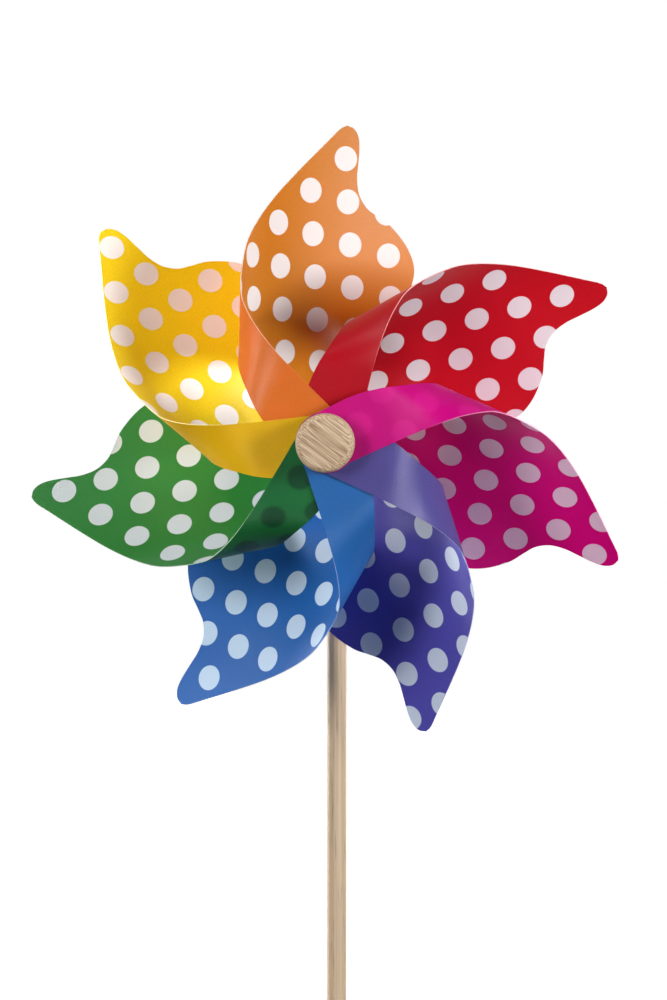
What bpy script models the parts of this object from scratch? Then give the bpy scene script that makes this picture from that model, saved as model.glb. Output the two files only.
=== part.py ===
"""Garden windmill: a seven-bladed pinwheel on a round wooden stake.

Every blade is one thin plastic sheet.  Its rear end sits on the axle behind a spacer
tube, the sheet curls forward round one side, and its front end sits on the same axle
in front of the tube, under a turned wooden cap.  The wheel turns on a steel pin that
runs through two flanged bushes in the stake.

Metres, +Z up.  The origin is the centre of the stake's foot and the wheel faces -Y.
"""
import math

import bmesh
import bpy
from mathutils import Matrix, Vector

# ---------------------------------------------------------------- driving sizes
CLEARANCE = 0.0003            # gap kept between pieces that touch

STAKE_DIAMETER = 0.010
STAKE_LENGTH = 0.595
STAKE_CHAMFER = 0.0006
AXLE_DROP = 0.020             # from the stake's top down to the axle

AXLE_DIAMETER = 0.003
AXLE_CHAMFER = 0.0003
CAP_DIAMETER = 0.0278
CAP_THICKNESS = 0.010
CAP_EDGE_RADIUS = 0.0032
CAP_SOCKET_DEPTH = 0.006
WASHER_DIAMETER = 0.016
WASHER_THICKNESS = 0.001
TUBE_LENGTH = 0.078
TUBE_DIAMETER = 0.008
BEAD_LENGTH = 0.012
BEAD_DIAMETER = 0.015
BEAD_EDGE_RADIUS = 0.003
KNOB_LENGTH = 0.012
KNOB_DIAMETER = 0.015
KNOB_EDGE_RADIUS = 0.0045
KNOB_SOCKET_DEPTH = 0.008

BUSH_WALL = 0.0008
BUSH_FLANGE_DIAMETER = 0.0075
BUSH_FLANGE_THICKNESS = 0.0008
BUSH_LENGTH = 0.0040          # sleeve of one bush, under its flange
THRUST_DIAMETER = 0.008
THRUST_THICKNESS = 0.0006

# blades: name, colour, and the direction of the tip, counter-clockwise from +X seen from the front
BLADES = (
    ("red", (0.62, 0.012, 0.018), 29.3),
    ("orange", (0.72, 0.21, 0.022), 88.0),
    ("yellow", (0.92, 0.66, 0.01), 139.3),
    ("green", (0.03, 0.23, 0.035), 192.0),
    ("blue", (0.025, 0.13, 0.48), 240.9),
    ("violet", (0.055, 0.03, 0.27), 288.0),
    ("magenta", (0.45, 0.0, 0.13), 337.2),
)
SHEET_THICKNESS = 0.0004
SHEET_PITCH = 0.0008          # from one sheet to the next in a stack
BLADE_END_RADIUS = 0.0144     # round ends on the axle
BLADE_REACH = 0.153           # from the axle out to the tip
HOLE_PLAY = 0.0004            # round the axle in the two holes of a sheet

# the bend of a sheet: its slope along the flat distance s from the axle line
SLOPE_START = math.radians(28.0)
SLOPE_RATE = math.radians(200.0)        # per metre, everywhere
CURL_TURN = math.radians(123.0)         # extra turn through the curl
CURL_CENTRE = 0.0795
CURL_SPREAD = 0.0345
BEND_STEP = 0.0005
RULING_LEAN = math.tan(math.radians(5.0))
SHEET_TWIST = 2.6                       # rise per metre across and metre out
TWIST_CENTRE = 0.055                    # distance out where the twist is nil

# the sheets lie flat round the axle and take their own shape further out
REAR_FLAT_RADIUS = 0.026
REAR_FREE_RADIUS = 0.062
FRONT_FLAT_RADIUS = 0.032
FRONT_FREE_RADIUS = 0.066

CUTS_ACROSS = 0.0085          # spacing of the mesh lines that follow the bend
CUTS_OUT = (-0.008, 0.0, 0.008, 0.016, 0.024, 0.033, 0.043, 0.056, 0.075, 0.100, 0.125)

# ---------------------------------------------------------------- places worked out from the sizes
STAKE_RADIUS = STAKE_DIAMETER / 2
AXLE_RADIUS = AXLE_DIAMETER / 2
AXLE_HEIGHT = STAKE_LENGTH - AXLE_DROP
RUNNING_RADIUS = AXLE_RADIUS + CLEARANCE
HOLE_RADIUS = AXLE_RADIUS + HOLE_PLAY
BUSH_RADIUS = RUNNING_RADIUS + BUSH_WALL
STACK_DEPTH = SHEET_PITCH * (len(BLADES) - 1) + SHEET_THICKNESS


class Station:
    """Lays pieces out along the axle, one behind the other, a clearance apart."""

    def __init__(self, start, direction):
        self.place = start
        self.direction = direction

    def take(self, length):
        """The near and far ends of the next piece."""
        near = self.place + self.direction * CLEARANCE
        self.place = near + self.direction * length
        return near, self.place


forward = Station(-STAKE_RADIUS, -1)
FRONT_FLANGE = forward.take(BUSH_FLANGE_THICKNESS)
BEAD = forward.take(BEAD_LENGTH)
REAR_WASHER = forward.take(WASHER_THICKNESS)
REAR_STACK = forward.take(STACK_DEPTH)
TUBE = forward.take(TUBE_LENGTH)
FRONT_STACK = forward.take(STACK_DEPTH)
FRONT_WASHER = forward.take(WASHER_THICKNESS)
CAP = forward.take(CAP_THICKNESS)

backward = Station(STAKE_RADIUS, 1)
REAR_FLANGE = backward.take(BUSH_FLANGE_THICKNESS)
THRUST = backward.take(THRUST_THICKNESS)
KNOB = backward.take(KNOB_LENGTH)

AXLE = (CAP[0] - CAP_SOCKET_DEPTH + CLEARANCE, KNOB[0] + KNOB_SOCKET_DEPTH - CLEARANCE)


# ---------------------------------------------------------------- small helpers
def clear_scene():
    for old in list(bpy.data.objects):
        bpy.data.objects.remove(old, do_unlink=True)


def finish_material(name, colour, roughness, metallic=0.0):
    material = bpy.data.materials.new(name)
    material.use_nodes = True
    shader = material.node_tree.nodes["Principled BSDF"]
    shader.inputs["Base Color"].default_value = (*colour, 1.0)
    shader.inputs["Roughness"].default_value = roughness
    shader.inputs["Metallic"].default_value = metallic
    return material


def add_object(name, bm, material, parent=None, smooth_angle=40.0):
    bmesh.ops.recalc_face_normals(bm, faces=bm.faces)
    mesh = bpy.data.meshes.new(name)
    bm.to_mesh(mesh)
    bm.free()
    mesh.shade_smooth()
    mesh.set_sharp_from_angle(angle=math.radians(smooth_angle))
    obj = bpy.data.objects.new(name, mesh)
    obj.data.materials.append(material)
    obj.parent = parent
    bpy.context.scene.collection.objects.link(obj)
    return obj


def arc(centre_radius, centre_place, radius, start, end, steps):
    """Profile points (radius, place) on a round corner; angles in degrees."""
    points = []
    for step in range(steps + 1):
        angle = math.radians(start + (end - start) * step / steps)
        points.append((centre_radius + radius * math.cos(angle), centre_place + radius * math.sin(angle)))
    return points


def turned(profile, segments, closed=False):
    """A solid turned about the Y axis from (radius, place along Y) points."""
    bm = bmesh.new()
    verts = [bm.verts.new((radius, place, 0.0)) for radius, place in profile]
    edges = [bm.edges.new(pair) for pair in zip(verts, verts[1:])]
    if closed:
        edges.append(bm.edges.new((verts[-1], verts[0])))
    bmesh.ops.spin(bm, geom=verts + edges, cent=(0, 0, 0), axis=(0, 1, 0), dvec=(0, 0, 0),
                   angle=math.tau, steps=segments, use_merge=True, use_duplicate=False)
    bmesh.ops.remove_doubles(bm, verts=bm.verts, dist=0.000001)
    return bm


def ring(inner, outer, ends, segments=24):
    """A plain washer or tube between two places along Y."""
    near, far = ends
    return turned([(inner, near), (outer, near), (outer, far), (inner, far)], segments, closed=True)


# ---------------------------------------------------------------- stake and its bearings
def make_stake(wood):
    bm = bmesh.new()
    bmesh.ops.create_cone(bm, cap_ends=True, segments=32, radius1=STAKE_RADIUS, radius2=STAKE_RADIUS,
                          depth=STAKE_LENGTH, matrix=Matrix.Translation((0, 0, STAKE_LENGTH / 2)))
    rims = [edge for edge in bm.edges if abs(edge.verts[0].co.z - edge.verts[1].co.z) < CLEARANCE]
    bmesh.ops.bevel(bm, geom=rims, offset=STAKE_CHAMFER, segments=1, profile=0.5,
                    affect="EDGES", material=-1)
    stake = add_object("stake", bm, wood)
    drill = turned([(0, -STAKE_DIAMETER), (BUSH_RADIUS + CLEARANCE, -STAKE_DIAMETER),
                    (BUSH_RADIUS + CLEARANCE, STAKE_DIAMETER), (0, STAKE_DIAMETER)], 24)
    cutter = add_object("axle_drill", drill, wood)
    cutter.location.z = AXLE_HEIGHT
    cutter.hide_render = True
    cutter.display_type = "WIRE"
    hole = stake.modifiers.new("axle_hole", "BOOLEAN")
    hole.operation = "DIFFERENCE"
    hole.object = cutter
    return stake


def make_bush(name, flange, plastic):
    """A flanged sleeve that sits in the stake's cross hole from one side."""
    inner_face, outer_face = flange
    side = 1 if inner_face > 0 else -1
    sleeve_end = inner_face - side * (BUSH_LENGTH + CLEARANCE)
    profile = [(RUNNING_RADIUS, outer_face), (BUSH_FLANGE_DIAMETER / 2, outer_face),
               (BUSH_FLANGE_DIAMETER / 2, inner_face), (BUSH_RADIUS, inner_face),
               (BUSH_RADIUS, sleeve_end), (RUNNING_RADIUS, sleeve_end)]
    bush = add_object(name, turned(profile, 24, closed=True), plastic)
    bush.location.z = AXLE_HEIGHT
    return bush


# ---------------------------------------------------------------- hub pieces, all turned about the axle
def make_axle(steel, hub):
    near, far = AXLE
    edge = AXLE_CHAMFER
    profile = [(0, near), (AXLE_RADIUS - edge, near), (AXLE_RADIUS, near + edge),
               (AXLE_RADIUS, far - edge), (AXLE_RADIUS - edge, far), (0, far)]
    return add_object("axle", turned(profile, 20), steel, hub)


def socketed(ends, radius, edge_radius, socket_depth, steps):
    """A round-edged disc with a blind socket in the face at its near end."""
    near, far = ends
    way = 1 if far > near else -1
    rim = arc(radius - edge_radius, far - way * edge_radius, edge_radius, 90 * way, 0, steps)
    lip = 0.0006
    socket = RUNNING_RADIUS
    return [(0, far)] + rim + [(radius, near + way * lip), (radius - lip, near), (socket, near),
                               (socket, near + way * socket_depth), (0, near + way * socket_depth)]


def make_cap(wood, hub):
    profile = socketed(CAP, CAP_DIAMETER / 2, CAP_EDGE_RADIUS, CAP_SOCKET_DEPTH, 5)
    return add_object("hub_cap", turned(profile, 40), wood, hub)


def make_knob(wood, hub):
    profile = socketed(KNOB, KNOB_DIAMETER / 2, KNOB_EDGE_RADIUS, KNOB_SOCKET_DEPTH, 5)
    return add_object("rear_knob", turned(profile, 28), wood, hub)


def make_bead(wood, hub):
    near, far = BEAD
    radius = BEAD_DIAMETER / 2
    edge = BEAD_EDGE_RADIUS
    upper = arc(radius - edge, near - edge, edge, 90, 0, 4)
    lower = arc(radius - edge, far + edge, edge, 0, -90, 4)
    profile = [(RUNNING_RADIUS, near)] + upper + lower + [(RUNNING_RADIUS, far)]
    return add_object("spacer_bead", turned(profile, 28, closed=True), wood, hub)


def make_rings(plastic, steel, hub):
    washer = WASHER_DIAMETER / 2
    add_object("front_washer", ring(RUNNING_RADIUS, washer, FRONT_WASHER), plastic, hub)
    add_object("rear_washer", ring(RUNNING_RADIUS, washer, REAR_WASHER), plastic, hub)
    add_object("spacer_tube", ring(RUNNING_RADIUS, TUBE_DIAMETER / 2, TUBE), plastic, hub)
    add_object("thrust_washer", ring(RUNNING_RADIUS, THRUST_DIAMETER / 2, THRUST), steel, hub)


# ---------------------------------------------------------------- the bend of a blade
def slope_at(s):
    """Angle of the sheet to the wheel's plane at flat distance s."""
    turn = 0.5 * (1 + math.tanh((s - CURL_CENTRE) / CURL_SPREAD))
    return SLOPE_START + SLOPE_RATE * s + CURL_TURN * turn


class Bend:
    """The sheet's section: place across and rise for any flat distance."""

    def __init__(self, low, high):
        self.low = low
        steps = int((high - low) / BEND_STEP) + 1
        across, rise = 0.0, 0.0
        self.across, self.rise = [across], [rise]
        for step in range(steps):
            slope = slope_at(low + (step + 0.5) * BEND_STEP)
            across += BEND_STEP * math.cos(slope)
            rise += BEND_STEP * math.sin(slope)
            self.across.append(across)
            self.rise.append(rise)
        zero_across, zero_rise = self.read(self.across, 0.0), self.read(self.rise, 0.0)
        self.across = [value - zero_across for value in self.across]
        self.rise = [value - zero_rise for value in self.rise]

    def read(self, table, s):
        place = (s - self.low) / BEND_STEP
        index = max(0, min(len(table) - 2, int(place)))
        return table[index] + (table[index + 1] - table[index]) * (place - index)

    def at(self, s):
        return self.read(self.across, s), self.read(self.rise, s)

    def fold(self):
        """Flat distance of the outermost line of the curl."""
        return self.low + self.across.index(max(self.across)) * BEND_STEP

    def front_axle(self):
        """Flat distance where the front end comes back over the axle."""
        s = self.fold()
        while self.at(s)[0] > 0:
            s += BEND_STEP
        past, before = self.at(s)[0], self.at(s - BEND_STEP)[0]
        return s - BEND_STEP * past / (past - before)


BEND = Bend(-0.06, 0.19)
FOLD = BEND.fold()
FRONT_AXLE = BEND.front_axle()
FREE_RISE = BEND.at(FRONT_AXLE)[1]


def smooth_ramp(value, low, high):
    x = max(0.0, min(1.0, (value - low) / (high - low)))
    return x * x * (3 - 2 * x)


def bent(s, t, rear_plane, front_plane):
    """Point of the sheet as (across, out, rise); the rise is measured forward from the stake's axis."""
    across, rise = BEND.at(s)
    middle = (abs(sum(REAR_STACK)) + abs(sum(FRONT_STACK))) / 4
    free = middle - FREE_RISE / 2 + rise + RULING_LEAN * t + SHEET_TWIST * across * (t - TWIST_CENTRE)
    radius = math.hypot(across, t)
    if s < FOLD:
        share = smooth_ramp(radius, REAR_FLAT_RADIUS, REAR_FREE_RADIUS)
        flat = rear_plane
    else:
        share = smooth_ramp(radius, FRONT_FLAT_RADIUS, FRONT_FREE_RADIUS)
        flat = front_plane
    return across, t, flat + (free - flat) * share


# ---------------------------------------------------------------- the flat shape of a blade
def round_axle(centre, radius, start, end, steps):
    """Points round the axle, true round once the sheet is bent; angles in degrees from across."""
    stretch = 1 / abs(math.cos(slope_at(centre)))
    points = []
    for step in range(steps + 1):
        angle = math.radians(start + (end - start) * step / steps)
        points.append(Vector((centre + radius * math.cos(angle) * stretch, radius * math.sin(angle))))
    return points


def curve_through(points, steps):
    """A smooth open curve through the points, without its last one."""
    chain = [2 * points[0] - points[1]] + points + [2 * points[-1] - points[-2]]
    result = []
    for a, b, c, d in zip(chain, chain[1:], chain[2:], chain[3:]):
        for step in range(steps):
            x = step / steps
            result.append(0.5 * (2 * b + (c - a) * x + (2 * a - 5 * b + 4 * c - d) * x * x
                                 + (3 * b - a - 3 * c + d) * x ** 3))
    return result


def flat_outline():
    """The cut edge of the flat sheet as (across, out), counter-clockwise, in metres."""
    mm = 0.001
    right_lobe = [(-1.5, 153), (-5.3, 151.6), (-7.8, 147.8), (-8.5, 142), (-8.1, 134), (-7.8, 127),
                  (-9.2, 119.5), (-13.5, 113.2), (-19.5, 109.2), (-27.5, 104), (-36.3, 93.5), (-39.8, 82),
                  (-35, 68), (-22, 56), (-11.4, 45), (-8.6, 33)]
    inner_cut = [(18, 14), (24.5, 27), (35, 37), (54, 40.5), (74, 36), (88, 26), (99, 13), (109, 2.5)]
    outer_cut = [(123, 28.5), (112, 38.5), (99, 50.5), (87, 61.5), (77, 70), (69, 80)]
    left_edge = [(61, 93), (51, 104), (37, 118), (22.5, 131.6), (9.5, 143.9), (2.3, 150.9)]
    rear = round_axle(0.0, BLADE_END_RADIUS, 165, 375, 10)
    front = round_axle(FRONT_AXLE, BLADE_END_RADIUS, 220, 430, 10)
    stretch = BLADE_REACH / (right_lobe[0][1] * mm)
    right_lobe, left_edge = ([Vector((across, out * stretch)) * mm for across, out in side]
                             for side in (right_lobe, left_edge))
    tip = right_lobe[0]
    points = right_lobe + [rear[0]]
    outline = curve_through(points, 2) + rear[:-1]
    outline += curve_through([rear[-1]] + [Vector(p) * mm for p in inner_cut] + [front[0]], 2) + front[:-1]
    outline += curve_through([front[-1]] + [Vector(p) * mm for p in outer_cut] + left_edge + [tip], 2)
    return outline


def closed_loop(bm, points):
    verts = [bm.verts.new((point.x, point.y, 0)) for point in points]
    return [bm.edges.new(pair) for pair in zip(verts, verts[1:] + verts[:1])]


def flat_sheet():
    """The flat blade, filled, with its two axle holes and with mesh lines where it bends."""
    bm = bmesh.new()
    edges = closed_loop(bm, flat_outline())
    for centre in (0.0, FRONT_AXLE):
        edges += closed_loop(bm, round_axle(centre, HOLE_RADIUS, 0, 360, 12)[:-1])
    bmesh.ops.triangle_fill(bm, use_beauty=True, use_dissolve=True, edges=edges, normal=(0, 0, 1))
    low = min(vert.co.x for vert in bm.verts)
    high = max(vert.co.x for vert in bm.verts)
    count = round((high - low) / CUTS_ACROSS)
    lines = [((low + (high - low) * step / count, 0, 0), (1, 0, 0)) for step in range(1, count)]
    lines.append(((FOLD, 0, 0), (1, 0, 0)))
    lines += [((0, out, 0), (0, 1, 0)) for out in CUTS_OUT]
    for place, normal in lines:
        bmesh.ops.bisect_plane(bm, geom=bm.verts[:] + bm.edges[:] + bm.faces[:], dist=0.00002,
                               plane_co=place, plane_no=normal)
    return bm


def make_blade(name, colour, tip_angle, index, hub):
    """One blade: its rear end is stacked in the reverse order of its front end."""
    rear_step = SHEET_PITCH * (len(BLADES) - 1 - index) + SHEET_THICKNESS / 2
    front_step = SHEET_PITCH * index + SHEET_THICKNESS / 2
    rear_plane = -REAR_STACK[0] + rear_step
    front_plane = -FRONT_STACK[0] + front_step
    bm = flat_sheet()
    for vert in bm.verts:
        across, out, rise = bent(vert.co.x, vert.co.y, rear_plane, front_plane)
        vert.co = (out, -rise, across)
    bmesh.ops.remove_doubles(bm, verts=bm.verts, dist=0.00001)
    bmesh.ops.triangulate(bm, faces=bm.faces, quad_method="SHORT_EDGE", ngon_method="BEAUTY")
    plastic = finish_material("plastic_" + name, colour, 0.35)
    blade = add_object("blade_" + name, bm, plastic, hub, smooth_angle=60.0)
    blade.rotation_euler.y = -math.radians(tip_angle)
    wall = blade.modifiers.new("sheet", "SOLIDIFY")
    wall.thickness = SHEET_THICKNESS
    wall.offset = 0.0
    return blade


# ---------------------------------------------------------------- the whole windmill
def build():
    clear_scene()
    stake_wood = finish_material("stake_wood", (0.48, 0.35, 0.21), 0.6)
    turned_wood = finish_material("turned_wood", (0.56, 0.42, 0.26), 0.55)
    clear_plastic = finish_material("clear_plastic", (0.75, 0.76, 0.74), 0.4)
    steel = finish_material("steel", (0.55, 0.55, 0.56), 0.3, 1.0)

    make_stake(stake_wood)
    make_bush("bush_front", FRONT_FLANGE, clear_plastic)
    make_bush("bush_rear", REAR_FLANGE, clear_plastic)

    hub = bpy.data.objects.new("wheel_axis", None)
    hub.location.z = AXLE_HEIGHT
    bpy.context.scene.collection.objects.link(hub)
    make_axle(steel, hub)
    make_cap(turned_wood, hub)
    make_knob(turned_wood, hub)
    make_bead(turned_wood, hub)
    make_rings(clear_plastic, steel, hub)
    for index, (name, colour, tip_angle) in enumerate(BLADES):
        make_blade(name, colour, tip_angle, index, hub)


build()
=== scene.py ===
"""Looks of the garden windmill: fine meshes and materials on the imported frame."""
import math
from collections import namedtuple

import bmesh
import bpy
from mathutils import Matrix, Vector


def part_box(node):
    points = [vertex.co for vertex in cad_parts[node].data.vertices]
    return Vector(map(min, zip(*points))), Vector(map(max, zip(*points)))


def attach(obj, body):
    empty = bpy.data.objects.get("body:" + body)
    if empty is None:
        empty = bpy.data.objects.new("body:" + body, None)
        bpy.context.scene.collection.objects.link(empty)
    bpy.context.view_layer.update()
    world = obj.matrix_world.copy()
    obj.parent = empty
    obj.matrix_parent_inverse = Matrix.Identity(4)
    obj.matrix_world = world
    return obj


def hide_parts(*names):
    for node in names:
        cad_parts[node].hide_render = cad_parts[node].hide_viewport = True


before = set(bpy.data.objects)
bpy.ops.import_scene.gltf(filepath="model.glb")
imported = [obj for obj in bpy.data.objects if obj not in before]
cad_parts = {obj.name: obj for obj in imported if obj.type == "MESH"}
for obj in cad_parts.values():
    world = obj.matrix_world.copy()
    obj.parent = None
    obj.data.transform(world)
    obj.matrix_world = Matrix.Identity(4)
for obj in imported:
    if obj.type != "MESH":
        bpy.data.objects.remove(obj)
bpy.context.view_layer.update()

# ---------------------------------------------------------------- sizes of the made object
CLEARANCE = 0.0003
AXLE_RADIUS = 0.0015
RUNNING_RADIUS = AXLE_RADIUS + CLEARANCE
SHEET_THICKNESS = 0.0004
SHEET_PITCH = 0.0008
BLADE_END_RADIUS = 0.0144
HOLE_RADIUS = 0.0019
BUSH_FLANGE = 0.0008          # of the sleeves in the stake
BUSH_WALL = 0.0008
EASED_RIM = 0.0001            # on washers, tube and sleeves

# how a sheet is bent, along the flat distance from its rear hole
SLOPE_START = math.radians(28.0)
SLOPE_RATE = math.radians(200.0)    # for each metre
CURL_TURN = math.radians(123.0)     # of the curl over the front, round CURL_CENTRE
CURL_CENTRE = 0.0795
CURL_SPREAD = 0.0345
BEND_STEP = 0.0005
RULING_LEAN = math.tan(math.radians(5.0))
SHEET_TWIST = 2.6
TWIST_CENTRE = 0.055
REAR_FLAT_RADIUS = 0.026      # inside the first of these a sheet lies flat on the axle's stack,
REAR_FREE_RADIUS = 0.062      # and outside the second it bends freely
FRONT_FLAT_RADIUS = 0.032
FRONT_FREE_RADIUS = 0.066

CUT_SPACING = 0.0025          # mesh lines across the sheet, for a smooth bend
OUTLINE_STEPS = 7             # mesh points for each point of the outline
ROUND_STEPS = 36              # and for each round end

# A blade has the direction of its tip in degrees, and its print: two steps between the dots and the place
# of one dot, in millimetres on the flat sheet, and whether a row of dots lies on the long straight edge.
# Then come the colours of the printed side, of the ink, of the plain side, and of the print where it shows
# through on the plain side, and the share of light that passes through the sheet.
Blade = namedtuple("Blade", "name tip steps edge_row sheet ink plain ghost clear")
BLADES = (
    Blade("red", 29.3, ((-22.2, 4.2), (-6.3, 20.9), (-3.0, 94.2)), False,
          (0.69, 0.007, 0.02), (0.82, 0.76, 0.8), (0.54, 0.002, 0.012), (0.48, 0.002, 0.012), 0.28),
    Blade("orange", 88.0, ((20.8, 4.6), (1.9, 21.0), (-7.0, 73.8)), False,
          (0.66, 0.25, 0.014), (0.8, 0.78, 0.76), (0.84, 0.2, 0.022), (0.78, 0.18, 0.022), 0.28),
    Blade("yellow", 139.3, ((18.5, 4.2), (1.2, 21.1), (-2.7, 80.4)), False,
          (0.98, 0.83, 0.02), (0.97, 0.97, 0.96), (0.94, 0.6, 0.012), (0.88, 0.54, 0.012), 0.34),
    Blade("green", 192.0, ((19.0, 4.6), (1.6, 21.2), (-4.4, 94.2)), False,
          (0.033, 0.275, 0.05), (0.58, 0.66, 0.72), (0.014, 0.185, 0.048), (0.006, 0.075, 0.028), 0.28),
    Blade("blue", 240.9, ((-19.8, 3.4), (-6.0, 20.9), (3.4, 75.0)), False,
          (0.012, 0.16, 0.56), (0.56, 0.72, 0.9), (0.03, 0.18, 0.53), (0.027, 0.165, 0.49), 0.28),
    Blade("violet", 288.0, ((-20.4, 3.1), (-5.9, 21.6), (9.9, 79.9)), True,
          (0.137, 0.12, 0.62), (0.72, 0.8, 0.94), (0.115, 0.095, 0.36), (0.105, 0.088, 0.34), 0.28),
    Blade("magenta", 337.2, ((-19.7, 3.8), (-5.1, 21.2), (-8.3, 81.4)), True,
          (0.98, 0.001, 0.34), (0.97, 0.68, 0.86), (0.66, 0.001, 0.25), (0.67, 0.008, 0.265), 0.28),
)
DOT_RADIUS = 0.0061
DOT_BLUR = 0.00012            # of the rim of a printed dot
DOT_WOBBLE = 0.00012
SHOW_THROUGH_BLUR = 0.0009    # of the rim of a dot that shows through
SHOW_THROUGH_DROP = 0.005     # how far nearer to the axle a dot shows through
EDGE_WAY = (0.702, 0.712)     # direction square to the long straight edge, and how far along it the row is
EDGE_ROW = 0.1060

# the finish of the sheets
SATIN = 0.25                  # roughness where the grain is lowest
GRAIN_ROUGHNESS = 0.16        # what the grain adds to it
INK_ROUGHNESS = 0.10          # what the ink adds to it
INK_COVER = 0.97              # how much of the sheet's colour the ink hides
INK_CLEAR = 0.08              # share of light that passes through a dot
LOW_GRAIN = 0.80              # brightness of the colour where the grain is lowest

# the print's own map: flat metres turned into the unit square
MAP_SCALE = 4.0
MAP_ACROSS = 0.20
MAP_OUT = 0.10

# ---------------------------------------------------------------- places read from the frame
WHEEL, POST = "wheel", "post"
CAP_LOW, CAP_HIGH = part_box("hub_cap")
AXLE_HEIGHT = (CAP_LOW.z + CAP_HIGH.z) / 2
REAR_FACE = -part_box("rear_washer")[0].y + CLEARANCE      # measured forward from the stake's axis
FRONT_FACE = -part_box("spacer_tube")[0].y + CLEARANCE
STACK_DEPTH = SHEET_PITCH * (len(BLADES) - 1) + SHEET_THICKNESS


# ---------------------------------------------------------------- camera and studio
VIEW_AZIMUTH = math.radians(2.9)
VIEW_HEIGHT = math.radians(2.2)
VIEW_DISTANCE = 1.6
FRAME_HEIGHT = 0.468          # metres across the picture's height at the cap's face
AIM_OFFSET = (0.00421, -0.02644)    # from the cap's centre to the picture's centre: right, up
ROOM_LEVEL = 0.03
BACKDROP_LEVEL = 2.8
BACKDROP_EDGES = (0.30, 0.80)       # from the room to the backdrop, along the direction's Y
HUB_MIDDLE = 0.07             # what the softboxes face, forward from the stake's axis
SOFTBOXES = (                 # name, azimuth and height in degrees, distance, size, power
    ("key_right", 62, 12, 1.3, (0.36, 0.5), 19.5),
    ("front_left", -38, 12, 1.3, (0.4, 0.6), 10.5),
    ("side_left", -88, 10, 1.3, (0.4, 0.9), 7.5),
    ("strip_left", -130, 0, 1.3, (0.25, 0.4), 14.0),
    ("top_left", -70, 50, 1.3, (0.6, 0.6), 5.5),
    ("low", 10, -42, 1.3, (0.8, 0.8), 5.0),
)
GLINT = ("glint", 34, -8, 1.3, (0.3, 0.3), 11.0)      # seen only in the gloss


def set_camera():
    target = Vector((0, CAP_LOW.y, AXLE_HEIGHT))
    back = Vector((math.sin(VIEW_AZIMUTH) * math.cos(VIEW_HEIGHT),
                   -math.cos(VIEW_AZIMUTH) * math.cos(VIEW_HEIGHT), math.sin(VIEW_HEIGHT)))
    right = Vector((math.cos(VIEW_AZIMUTH), math.sin(VIEW_AZIMUTH), 0))
    up = back.cross(right)
    place = target + back * VIEW_DISTANCE
    aim = target + right * AIM_OFFSET[0] + up * AIM_OFFSET[1]
    data = bpy.data.cameras.new("camera")
    data.sensor_fit = "VERTICAL"
    data.sensor_height = 24.0
    data.lens = data.sensor_height * VIEW_DISTANCE / FRAME_HEIGHT
    data.clip_end = 50
    camera = bpy.data.objects.new("camera", data)
    camera.location = place
    camera.rotation_euler = (aim - place).to_track_quat("-Z", "Y").to_euler()
    bpy.context.scene.collection.objects.link(camera)
    bpy.context.scene.camera = camera


def add_softbox(name, azimuth, height, distance, size, power):
    """A softbox that faces the wheel, placed by its direction from it in degrees."""
    azimuth, height = math.radians(azimuth), math.radians(height)
    middle = Vector((0, -HUB_MIDDLE, AXLE_HEIGHT))
    way = Vector((math.sin(azimuth) * math.cos(height), -math.cos(azimuth) * math.cos(height),
                  math.sin(height)))
    light = bpy.data.lights.new(name, "AREA")
    light.shape = "RECTANGLE"
    light.size, light.size_y = size
    light.energy = power
    obj = bpy.data.objects.new(name, light)
    obj.location = middle + way * distance
    obj.rotation_euler = (-way).to_track_quat("-Z", "Y").to_euler()
    bpy.context.scene.collection.objects.link(obj)
    return obj


def set_studio():
    """A bright white backdrop behind the wheel, a dark room in front of it, and softboxes on both sides."""
    scene = bpy.context.scene
    scene.view_settings.view_transform = "Standard"
    world = bpy.data.worlds.new("studio")
    scene.world = world
    world.use_nodes = True
    sheet = Sheet(world.node_tree)
    way = sheet.add("ShaderNodeSeparateXYZ", Vector=sheet.add("ShaderNodeTexCoord").out("Generated")).out("Y")
    start, end = BACKDROP_EDGES
    glow = sheet.add("ShaderNodeMapRange", Value=way, interpolation_type="SMOOTHSTEP", From_Min=start,
                     From_Max=end, To_Min=ROOM_LEVEL, To_Max=BACKDROP_LEVEL).out()
    backdrop = sheet.add("ShaderNodeBackground", Color=(1, 1, 1, 1), Strength=1.0)
    fill = sheet.add("ShaderNodeBackground", Color=(1, 1, 1, 1), Strength=glow)
    seen = sheet.add("ShaderNodeLightPath").out("Is Camera Ray")
    mixed = sheet.add("ShaderNodeMixShader", {0: seen, 1: fill.out(), 2: backdrop.out()})
    sheet.add("ShaderNodeOutputWorld", Surface=mixed.out())
    for softbox in SOFTBOXES:
        add_softbox(*softbox)
    add_softbox(*GLINT).visible_diffuse = False


# ---------------------------------------------------------------- shader maths
class Sheet:
    """A node tree, with one method that adds any node."""

    def __init__(self, tree):
        self.tree = tree
        tree.nodes.clear()

    def add(self, kind, links=None, **named):
        """Lower case names are the node's settings; sockets start with a capital or are numbered in links."""
        node = self.tree.nodes.new(kind)
        sockets = dict(links or {})
        for key, value in named.items():
            if key[0].islower():
                setattr(node, key, value)
            else:
                sockets[key.replace("_", " ")] = value
        for key, value in sockets.items():
            if isinstance(value, Value):
                self.tree.links.new(value.socket, node.inputs[key])
            else:
                node.inputs[key].default_value = value
        return Node(self, node)


class Node:
    """A node and its outputs."""

    def __init__(self, sheet, node):
        self.sheet = sheet
        self.node = node

    def out(self, key=0):
        return Value(self.sheet, self.node.outputs[key])


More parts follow.
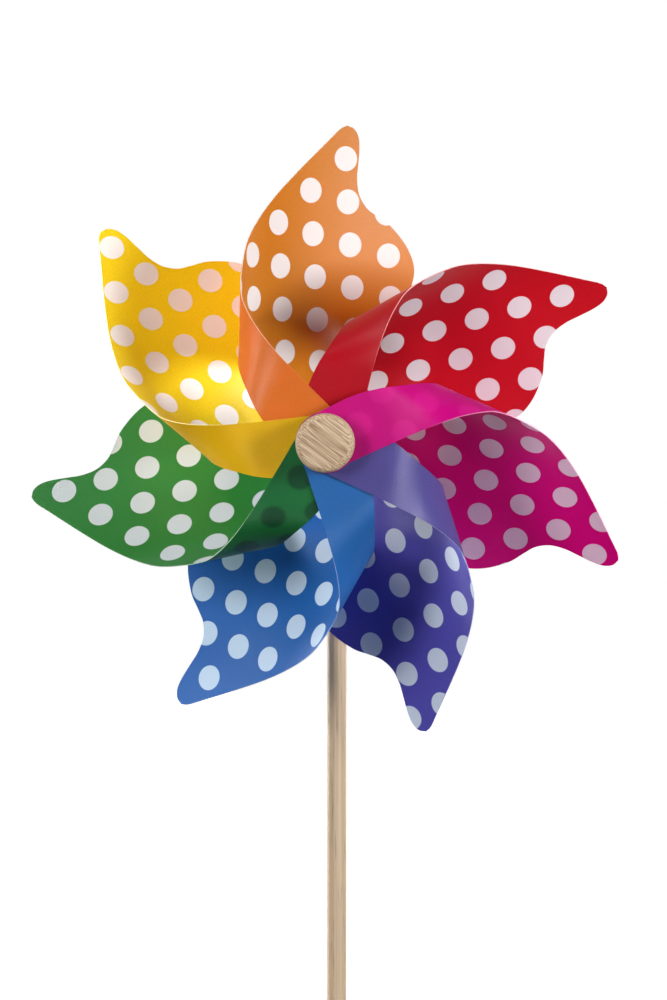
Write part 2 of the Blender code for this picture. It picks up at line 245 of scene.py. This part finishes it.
class Value:
    """A socket that takes part in plain arithmetic."""

    def __init__(self, sheet, socket):
        self.sheet = sheet
        self.socket = socket

    def maths(self, operation, *others):
        values = dict(enumerate((self,) + others))
        return self.sheet.add("ShaderNodeMath", values, operation=operation).out()

    def __add__(self, other):
        return self.maths("ADD", other)

    __radd__ = __add__

    def __sub__(self, other):
        return self.maths("SUBTRACT", other)

    def __rsub__(self, other):
        return self * -1.0 + other

    def __mul__(self, other):
        return self.maths("MULTIPLY", other)

    __rmul__ = __mul__

    def __truediv__(self, other):
        return self.maths("DIVIDE", other)


def new_material(name):
    material = bpy.data.materials.new(name)
    material.use_nodes = True
    return material, Sheet(material.node_tree)


def blend_colour(sheet, share, first, second):
    """From the first colour to the second; 6, 7 and 2 are a Mix node's colour sockets."""
    return sheet.add("ShaderNodeMix", {0: share, 6: first, 7: second}, data_type="RGBA").out(2)


def noise(sheet, place, **named):
    return sheet.add("ShaderNodeTexNoise", Vector=place, **named).out("Fac")


def relief(sheet, height, strength, depth):
    return sheet.add("ShaderNodeBump", Strength=strength, Distance=depth, Height=height).out()


def rgba(colour):
    return (*colour, 1.0)


def lighten(colour, share):
    return tuple(channel + (1.0 - channel) * share for channel in colour)


def shade(colour, level):
    return tuple(channel * level for channel in colour)


def finish(material, sheet, body, rough, **named):
    """Ends a material that is one plain shader."""
    gloss = sheet.add("ShaderNodeBsdfPrincipled", Base_Color=body, Roughness=rough, **named)
    sheet.add("ShaderNodeOutputMaterial", Surface=gloss.out())
    return material


# ---------------------------------------------------------------- materials
def flat_place(sheet):
    """Where a point lies on the flat sheet, in metres across and out."""
    parts = sheet.add("ShaderNodeSeparateXYZ", Vector=sheet.add("ShaderNodeTexCoord").out("UV"))
    return (parts.out("X") - MAP_ACROSS) / MAP_SCALE, (parts.out("Y") - MAP_OUT) / MAP_SCALE


def dot_mask(sheet, blade, blur, drop=0.0):
    """1 on a printed dot, 0 between the dots."""
    (ax, ay), (bx, by), (px, py) = [(x * 0.001, y * 0.001) for x, y in blade.steps]
    across, out = flat_place(sheet)
    dx, dy = across - px, out - (py - drop)
    spread = ax * by - bx * ay
    first = dx * (by / spread) - dy * (bx / spread)
    second = dy * (ax / spread) - dx * (ay / spread)
    first, second = first - first.maths("ROUND"), second - second.maths("ROUND")
    dx, dy = first * ax + second * bx, first * ay + second * by
    distance = (dx * dx + dy * dy).maths("SQRT")
    wobble = noise(sheet, sheet.add("ShaderNodeTexCoord").out("UV"), Scale=260.0, Detail=2.0)
    rim = distance + (wobble - 0.5) * DOT_WOBBLE
    mask = sheet.add("ShaderNodeMapRange", Value=rim, From_Min=DOT_RADIUS - blur, From_Max=DOT_RADIUS + blur,
                     To_Min=1.0, To_Max=0.0).out()
    if blade.edge_row:
        return mask
    along = (across - dx) * EDGE_WAY[0] + (out - dy) * EDGE_WAY[1]
    return mask * along.maths("LESS_THAN", EDGE_ROW)


def sheet_grain(sheet):
    """The fine pebbled surface of the sheet and its slow unevenness."""
    place = sheet.add("ShaderNodeTexCoord").out("UV")
    fine = noise(sheet, place, Scale=330.0, Detail=3.0, Roughness=0.7)
    return fine, noise(sheet, place, Scale=7.0, Detail=2.0)


def plastic(name, blade, printed):
    """Translucent satin sheet: the side that carries the dots, or the plain side."""
    material, sheet = new_material(name)
    fine, slow = sheet_grain(sheet)
    colour = blade.sheet if printed else blade.plain
    body = blend_colour(sheet, slow * 0.5 + fine * 3.2 - 1.3, rgba(shade(colour, LOW_GRAIN)), rgba(colour))
    rough = fine * GRAIN_ROUGHNESS + SATIN
    clear = blade.clear
    if printed:
        dots = dot_mask(sheet, blade, DOT_BLUR)
        body = blend_colour(sheet, dots * INK_COVER, body, rgba(blade.ink))
        rough = rough + dots * INK_ROUGHNESS
        clear = blade.clear - dots * (blade.clear - INK_CLEAR)
    else:
        dots = dot_mask(sheet, blade, SHOW_THROUGH_BLUR, SHOW_THROUGH_DROP)
        body = blend_colour(sheet, dots, body, rgba(blade.ghost))
    gloss = sheet.add("ShaderNodeBsdfPrincipled", {"Base Color": body, "Roughness": rough, "IOR": 1.49,
                      "Specular IOR Level": 0.32, "Normal": relief(sheet, fine, 0.6, 0.0002)})
    through = sheet.add("ShaderNodeBsdfTranslucent", Color=rgba(colour))
    mixed = sheet.add("ShaderNodeMixShader", {0: clear, 1: gloss.out(), 2: through.out()})
    sheet.add("ShaderNodeOutputMaterial", Surface=mixed.out())
    return material


def painted_glow_edge(name, colour):
    """The sheet's cut edge with painted light: its colour is lightened towards white to stand for the light
    that leaves the sheet there.
    """
    material, sheet = new_material(name)
    grain = noise(sheet, sheet.add("ShaderNodeTexCoord").out("UV"), Scale=300.0, Detail=2.0)
    # painted glow: the edge colour is moved 55 to 15 per cent towards white, varied by a fine grain
    body = blend_colour(sheet, grain, rgba(lighten(colour, 0.55)), rgba(lighten(colour, 0.15)))
    return finish(material, sheet, body, 0.4)


def streaks(sheet, place, thin, long, **named):
    """Noise drawn out along the grain: thin and long are its rates across and along."""
    stretched = sheet.add("ShaderNodeMapping", Vector=place, Scale=(thin, thin, long)).out()
    return noise(sheet, stretched, **named)


def wood(name, light, dark, centre, grain_turn, scale, contrast):
    """Beech: long fibres, darker pores and slow bands along a line turned by grain_turn from the upright."""
    material, sheet = new_material(name)
    place = sheet.add("ShaderNodeTexCoord").out("Object")
    along = sheet.add("ShaderNodeMapping", vector_type="TEXTURE", Vector=place, Location=centre,
                      Rotation=(0, grain_turn, 0)).out()
    fibre = streaks(sheet, along, 75.0 * scale, 0.5 * scale, Scale=22.0, Detail=5.0, Roughness=0.62)
    band = streaks(sheet, along, 9.0 * scale, 0.5 * scale, Scale=3.0, Detail=2.0, Distortion=0.4)
    pore = streaks(sheet, along, 50.0 * scale, 2.0 * scale, Scale=40.0, Detail=1.0)
    pores = sheet.add("ShaderNodeMapRange", Value=pore, From_Min=0.62, From_Max=0.72).out()
    body = blend_colour(sheet, (fibre - 0.5) * contrast + (band - 0.5) * 1.3 + 0.48, rgba(light), rgba(dark))
    body = blend_colour(sheet, pores * 0.45, body, rgba(shade(dark, 0.45)))
    return finish(material, sheet, body, fibre * 0.15 + 0.5, IOR=1.45,
                  Normal=relief(sheet, fibre - pores * 0.6, 0.5, 0.0001))


def milky_plastic(name):
    material, sheet = new_material(name)
    haze = noise(sheet, sheet.add("ShaderNodeTexCoord").out("Object"), Scale=260.0, Detail=3.0)
    body = blend_colour(sheet, haze, rgba((0.78, 0.79, 0.77)), rgba((0.66, 0.68, 0.66)))
    return finish(material, sheet, body, haze * 0.2 + 0.3, Normal=relief(sheet, haze, 0.2, 0.00005))


def drawn_steel(name):
    """Steel with fine lines along the axle."""
    material, sheet = new_material(name)
    drawn = sheet.add("ShaderNodeMapping", Vector=sheet.add("ShaderNodeTexCoord").out("Object"),
                      Scale=(1.0, 0.03, 1.0)).out()
    lines = noise(sheet, drawn, Scale=2600.0, Detail=3.0)
    body = blend_colour(sheet, lines, rgba((0.62, 0.62, 0.63)), rgba((0.46, 0.46, 0.47)))
    return finish(material, sheet, body, lines * 0.2 + 0.2, Metallic=1.0,
                  Normal=relief(sheet, lines, 0.15, 0.00004))


def floor_finish(name):
    """Pale and matt, with a glow of its own so that it meets the backdrop without a line."""
    material, sheet = new_material(name)
    speck = noise(sheet, sheet.add("ShaderNodeTexCoord").out("Object"), Scale=3.0, Detail=2.0)
    body = blend_colour(sheet, speck, rgba((0.90, 0.90, 0.90)), rgba((0.88, 0.88, 0.88)))
    return finish(material, sheet, body, 0.95, Specular_IOR_Level=0.0, Emission_Color=(1, 1, 1, 1),
                  Emission_Strength=0.68)


# ---------------------------------------------------------------- mesh helpers
def add_object(name, bm, materials, smooth_angle=35.0):
    mesh = bpy.data.meshes.new(name)
    bm.to_mesh(mesh)
    bm.free()
    for material in materials:
        mesh.materials.append(material)
    mesh.shade_smooth()
    mesh.set_sharp_from_angle(angle=math.radians(smooth_angle))
    obj = bpy.data.objects.new(name, mesh)
    bpy.context.scene.collection.objects.link(obj)
    return obj


def settle(obj, smooth_angle):
    """Applies the object's modifiers to its mesh."""
    graph = bpy.context.evaluated_depsgraph_get()
    mesh = bpy.data.meshes.new_from_object(obj.evaluated_get(graph), depsgraph=graph)
    obj.modifiers.clear()
    obj.data = mesh
    mesh.shade_smooth()
    mesh.set_sharp_from_angle(angle=math.radians(smooth_angle))
    return obj


def arc(centre_radius, centre_place, radius, start, end, steps):
    """Points of a profile round a corner's centre; angles in degrees."""
    points = []
    for step in range(steps + 1):
        angle = math.radians(start + (end - start) * step / steps)
        points.append((centre_radius + radius * math.cos(angle), centre_place + radius * math.sin(angle)))
    return points


def turned(name, profile, materials, segments=72, closed=False, smooth_angle=35.0):
    """A solid turned about the axle from (radius, place along Y) points."""
    bm = bmesh.new()
    verts = [bm.verts.new((radius, place, 0.0)) for radius, place in profile]
    edges = [bm.edges.new(pair) for pair in zip(verts, verts[1:])]
    if closed:
        edges.append(bm.edges.new((verts[-1], verts[0])))
    bmesh.ops.spin(bm, geom=verts + edges, cent=(0, 0, 0), axis=(0, 1, 0), dvec=(0, 0, 0),
                   angle=math.tau, steps=segments, use_merge=True, use_duplicate=False)
    bmesh.ops.remove_doubles(bm, verts=bm.verts, dist=0.000001)
    bmesh.ops.recalc_face_normals(bm, faces=bm.faces)
    bmesh.ops.transform(bm, matrix=Matrix.Translation((0, 0, AXLE_HEIGHT)), verts=bm.verts)
    return add_object(name, bm, materials, smooth_angle)


def stand_for(obj, node, body):
    """Puts the piece in place of the CAD node and lets it ride the body."""
    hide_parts(node)
    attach(obj, body)
    return obj


# ---------------------------------------------------------------- the bend of a blade
def slope_at(s):
    turn = 0.5 * (1 + math.tanh((s - CURL_CENTRE) / CURL_SPREAD))
    return SLOPE_START + SLOPE_RATE * s + CURL_TURN * turn


class Bend:
    """The sheet's section: place across and rise for any flat distance."""

    def __init__(self, low, high):
        self.low = low
        steps = int((high - low) / BEND_STEP) + 1
        across, rise = 0.0, 0.0
        self.across, self.rise = [across], [rise]
        for step in range(steps):
            slope = slope_at(low + (step + 0.5) * BEND_STEP)
            across += BEND_STEP * math.cos(slope)
            rise += BEND_STEP * math.sin(slope)
            self.across.append(across)
            self.rise.append(rise)
        zero_across, zero_rise = self.read(self.across, 0.0), self.read(self.rise, 0.0)
        self.across = [value - zero_across for value in self.across]
        self.rise = [value - zero_rise for value in self.rise]

    def read(self, table, s):
        place = (s - self.low) / BEND_STEP
        index = max(0, min(len(table) - 2, int(place)))
        return table[index] + (table[index + 1] - table[index]) * (place - index)

    def at(self, s):
        return self.read(self.across, s), self.read(self.rise, s)

    def fold(self):
        """Where the sheet turns back over the front."""
        return self.low + self.across.index(max(self.across)) * BEND_STEP

    def front_axle(self):
        """Where the sheet comes back over the axle, which is the place of the front hole."""
        s = self.fold()
        while self.at(s)[0] > 0:
            s += BEND_STEP
        past, before = self.at(s)[0], self.at(s - BEND_STEP)[0]
        return s - BEND_STEP * past / (past - before)


BEND = Bend(-0.06, 0.19)
FOLD = BEND.fold()
FRONT_AXLE = BEND.front_axle()
FREE_RISE = BEND.at(FRONT_AXLE)[1]
MIDDLE = (REAR_FACE + FRONT_FACE + STACK_DEPTH) / 2


def smooth_ramp(value, low, high):
    x = max(0.0, min(1.0, (value - low) / (high - low)))
    return x * x * (3 - 2 * x)


def bent(s, t, rear_plane, front_plane):
    """Point of the sheet as (across, out, rise); the rise is measured forward from the stake's axis."""
    across, rise = BEND.at(s)
    free = MIDDLE - FREE_RISE / 2 + rise + RULING_LEAN * t + SHEET_TWIST * across * (t - TWIST_CENTRE)
    radius = math.hypot(across, t)
    if s < FOLD:
        share = smooth_ramp(radius, REAR_FLAT_RADIUS, REAR_FREE_RADIUS)
        flat = rear_plane
    else:
        share = smooth_ramp(radius, FRONT_FLAT_RADIUS, FRONT_FREE_RADIUS)
        flat = front_plane
    return across, t, flat + (free - flat) * share


# ---------------------------------------------------------------- the flat shape of a blade
def round_axle(centre, radius, start, end, steps):
    """Points round the axle, true round once the sheet is bent; angles in degrees from across."""
    stretch = 1 / abs(math.cos(slope_at(centre)))
    points = []
    for step in range(steps + 1):
        angle = math.radians(start + (end - start) * step / steps)
        points.append(Vector((centre + radius * math.cos(angle) * stretch, radius * math.sin(angle))))
    return points


def curve_through(points, steps):
    """A smooth open curve through the points, without its last one."""
    chain = [2 * points[0] - points[1]] + points + [2 * points[-1] - points[-2]]
    result = []
    for a, b, c, d in zip(chain, chain[1:], chain[2:], chain[3:]):
        for step in range(steps):
            x = step / steps
            result.append(0.5 * (2 * b + (c - a) * x + (2 * a - 5 * b + 4 * c - d) * x * x
                                 + (3 * b - a - 3 * c + d) * x ** 3))
    return result


def flat_outline():
    """The cut edge of the flat sheet as (across, out), counter-clockwise; the points are in millimetres."""
    right_lobe = [(-1.5, 153), (-5.3, 151.6), (-7.8, 147.8), (-8.5, 142), (-8.1, 134), (-7.8, 127),
                  (-9.2, 119.5), (-13.5, 113.2), (-19.5, 109.2), (-27.5, 104), (-36.3, 93.5), (-39.8, 82),
                  (-35, 68), (-22, 56), (-11.4, 45), (-8.6, 33)]
    inner_cut = [(18, 14), (24.5, 27), (35, 37), (54, 40.5), (74, 36), (88, 26), (99, 13), (109, 2.5)]
    outer_cut = [(123, 28.5), (112, 38.5), (99, 50.5), (87, 61.5), (77, 70), (69, 80)]
    left_edge = [(61, 93), (51, 104), (37, 118), (22.5, 131.6), (9.5, 143.9), (2.3, 150.9)]
    right_lobe, inner_cut, outer_cut, left_edge = (
        [Vector(point) * 0.001 for point in side] for side in (right_lobe, inner_cut, outer_cut, left_edge))
    rear = round_axle(0.0, BLADE_END_RADIUS, 165, 375, ROUND_STEPS)
    front = round_axle(FRONT_AXLE, BLADE_END_RADIUS, 220, 430, ROUND_STEPS)
    outline = curve_through(right_lobe + [rear[0]], OUTLINE_STEPS) + rear[:-1]
    outline += curve_through([rear[-1]] + inner_cut + [front[0]], OUTLINE_STEPS) + front[:-1]
    outline += curve_through([front[-1]] + outer_cut + left_edge + [right_lobe[0]], OUTLINE_STEPS)
    return outline


def closed_loop(bm, points):
    verts = [bm.verts.new((point.x, point.y, 0)) for point in points]
    return [bm.edges.new(pair) for pair in zip(verts, verts[1:] + verts[:1])]


def flat_sheet():
    """The flat blade, filled, with its axle holes, cut into small cells."""
    bm = bmesh.new()
    edges = closed_loop(bm, flat_outline())
    for centre in (0.0, FRONT_AXLE):
        edges += closed_loop(bm, round_axle(centre, HOLE_RADIUS, 0, 360, 32)[:-1])
    bmesh.ops.triangle_fill(bm, use_beauty=True, use_dissolve=True, edges=edges, normal=(0, 0, 1))
    inner = [edge for edge in bm.edges if not edge.is_boundary]
    bmesh.ops.dissolve_limit(bm, angle_limit=0.01, verts=[], edges=inner)
    for axis in (0, 1):
        low = min(vert.co[axis] for vert in bm.verts)
        high = max(vert.co[axis] for vert in bm.verts)
        count = round((high - low) / CUT_SPACING)
        for step in range(1, count):
            place, normal = Vector((0, 0, 0)), Vector((0, 0, 0))
            place[axis] = low + (high - low) * step / count
            normal[axis] = 1
            bmesh.ops.bisect_plane(bm, geom=bm.verts[:] + bm.edges[:] + bm.faces[:], dist=0.00002,
                                   plane_co=place, plane_no=normal)
    bmesh.ops.recalc_face_normals(bm, faces=bm.faces)
    if sum(face.normal.z for face in bm.faces) > 0:
        bmesh.ops.reverse_faces(bm, faces=bm.faces)
    return bm


def write_map(bm):
    layer = bm.loops.layers.uv.new("flat")
    for face in bm.faces:
        for loop in face.loops:
            loop[layer].uv = (loop.vert.co.x * MAP_SCALE + MAP_ACROSS, loop.vert.co.y * MAP_SCALE + MAP_OUT)


def make_blade(index, blade):
    rear_plane = REAR_FACE + SHEET_PITCH * (len(BLADES) - 1 - index) + SHEET_THICKNESS / 2
    front_plane = FRONT_FACE + SHEET_PITCH * index + SHEET_THICKNESS / 2
    bm = flat_sheet()
    write_map(bm)
    for vert in bm.verts:
        across, out, rise = bent(vert.co.x, vert.co.y, rear_plane, front_plane)
        vert.co = (out, -rise, across)
    around = Matrix.Rotation(-math.radians(blade.tip), 4, "Y")
    bmesh.ops.transform(bm, matrix=Matrix.Translation((0, 0, AXLE_HEIGHT)) @ around, verts=bm.verts)
    materials = [plastic("printed_" + blade.name, blade, True), plastic("plain_" + blade.name, blade, False),
                 painted_glow_edge("edge_" + blade.name, blade.sheet)]
    obj = add_object("sheet_" + blade.name, bm, materials)
    wall = obj.modifiers.new("wall", "SOLIDIFY")
    wall.thickness = SHEET_THICKNESS
    wall.offset = 0.0
    wall.material_offset = 1
    wall.material_offset_rim = 2
    settle(obj, 50.0)
    return stand_for(obj, "blade_" + blade.name, WHEEL)


# ---------------------------------------------------------------- turned pieces
def edge_bevels(points, size):
    """The profile with every corner cut by a small chamfer."""
    result = []
    for before, here, after in zip(points[-1:] + points[:-1], points, points[1:] + points[:1]):
        corner = Vector(here)
        result.append(tuple(corner + (Vector(before) - corner).normalized() * size))
        result.append(tuple(corner + (Vector(after) - corner).normalized() * size))
    return result


def make_ring(node, material, body):
    """A washer or tube from its CAD box, with eased rims."""
    low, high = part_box(node)
    outer = (high.x - low.x) / 2
    corners = [(RUNNING_RADIUS, low.y), (outer, low.y), (outer, high.y), (RUNNING_RADIUS, high.y)]
    obj = turned(node + "_ring", edge_bevels(corners, EASED_RIM), [material], closed=True)
    return stand_for(obj, node, body)


def make_bush(node, material):
    """A flanged sleeve, with its flange on the outer side of the stake."""
    low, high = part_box(node)
    outer = (high.x - low.x) / 2
    wall = RUNNING_RADIUS + BUSH_WALL
    side = 1 if low.y + high.y > 0 else -1
    face, end = (high.y, low.y) if side > 0 else (low.y, high.y)
    seat = face - side * BUSH_FLANGE
    corners = [(RUNNING_RADIUS, face), (outer, face), (outer, seat), (wall, seat), (wall, end),
               (RUNNING_RADIUS, end)]
    obj = turned(node + "_sleeve", edge_bevels(corners, EASED_RIM), [material], closed=True)
    return stand_for(obj, node, POST)


def make_axle(material):
    low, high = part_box("axle")
    edge = 0.0003
    profile = [(0, low.y), (AXLE_RADIUS - edge, low.y), (AXLE_RADIUS, low.y + edge),
               (AXLE_RADIUS, high.y - edge), (AXLE_RADIUS - edge, high.y), (0, high.y)]
    return stand_for(turned("axle_pin", profile, [material], 48), "axle", WHEEL)


def domed_disc(near, far, radius, edge_radius, dome, socket_depth):
    """Profile of a turned end piece: a slightly domed face, a round rim and a blind socket."""
    way = 1 if far > near else -1
    flat = radius - edge_radius
    face = [(flat * step / 12, far - way * dome * (step / 12) ** 2) for step in range(13)]
    rim = arc(flat, far - way * (dome + edge_radius), edge_radius, 90 * way, 0, 12)[1:]
    lip = 0.0006
    floor = near + way * socket_depth
    socket = [(radius, near + way * lip), (radius - lip * 0.3, near + way * lip * 0.3), (radius - lip, near),
              (RUNNING_RADIUS, near), (RUNNING_RADIUS, floor), (0, floor)]
    return face + rim + socket


def make_end_piece(name, node, material, edge_radius, dome, socket_depth):
    low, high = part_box(node)
    near, far = (high.y, low.y) if low.y < 0 else (low.y, high.y)
    profile = domed_disc(near, far, (high.x - low.x) / 2, edge_radius, dome, socket_depth)
    return stand_for(turned(name, profile, [material], 96), node, WHEEL)


def make_bead(material):
    low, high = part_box("spacer_bead")
    radius, edge = (high.x - low.x) / 2, 0.003
    upper = arc(radius - edge, high.y - edge, edge, 90, 0, 10)
    lower = arc(radius - edge, low.y + edge, edge, 0, -90, 10)
    profile = [(RUNNING_RADIUS, high.y)] + upper + lower + [(RUNNING_RADIUS, low.y)]
    bead = turned("bead", profile, [material], closed=True)
    return stand_for(bead, "spacer_bead", WHEEL)


# ---------------------------------------------------------------- stake
def make_stake(material):
    low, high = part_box("stake")
    radius, length = (high.x - low.x) / 2, high.z - low.z
    bm = bmesh.new()
    bmesh.ops.create_cone(bm, cap_ends=True, segments=72, radius1=radius, radius2=radius, depth=length,
                          matrix=Matrix.Translation((0, 0, low.z + length / 2)))
    rims = [edge for edge in bm.edges if abs(edge.verts[0].co.z - edge.verts[1].co.z) < length / 2]
    bmesh.ops.bevel(bm, geom=rims, offset=0.0006, segments=3, profile=0.5, affect="EDGES", material=-1)
    stake = add_object("dowel", bm, [material])
    hole = RUNNING_RADIUS + BUSH_WALL + CLEARANCE
    reach = 2 * radius
    drill = turned("drill", [(0, -reach), (hole, -reach), (hole, reach), (0, reach)], [material], 48)
    cut = stake.modifiers.new("hole", "BOOLEAN")
    cut.operation = "DIFFERENCE"
    cut.object = drill
    settle(stake, 35.0)
    bpy.data.objects.remove(drill, do_unlink=True)
    return stand_for(stake, "stake", POST)


def make_floor(material):
    bm = bmesh.new()
    bmesh.ops.create_circle(bm, cap_ends=True, segments=96, radius=4.0)
    floor = add_object("floor", bm, [material])
    floor.visible_diffuse = False
    floor.visible_glossy = False
    floor.visible_transmission = False


# ---------------------------------------------------------------- the whole scene
def build():
    set_camera()
    set_studio()
    cap_wood = wood("cap_beech", (0.70, 0.54, 0.37), (0.27, 0.16, 0.08), (0, 0, AXLE_HEIGHT),
                    grain_turn=math.radians(127), scale=1.0, contrast=3.4)
    stake_wood = wood("dowel_beech", (0.60, 0.46, 0.31), (0.42, 0.30, 0.19), (0, 0, 0),
                      grain_turn=0.0, scale=0.6, contrast=1.8)
    milky = milky_plastic("milky_plastic")
    steel = drawn_steel("drawn_steel")
    for index, blade in enumerate(BLADES):
        make_blade(index, blade)
    make_end_piece("cap", "hub_cap", cap_wood, edge_radius=0.0032, dome=0.0004, socket_depth=0.006)
    make_end_piece("knob", "rear_knob", cap_wood, edge_radius=0.0045, dome=0.0006, socket_depth=0.008)
    make_bead(cap_wood)
    make_axle(steel)
    for node in ("front_washer", "rear_washer", "spacer_tube"):
        make_ring(node, milky, WHEEL)
    make_ring("thrust_washer", steel, WHEEL)
    make_bush("bush_front", milky)
    make_bush("bush_rear", milky)
    make_stake(stake_wood)
    make_floor(floor_finish("studio_floor"))


build()
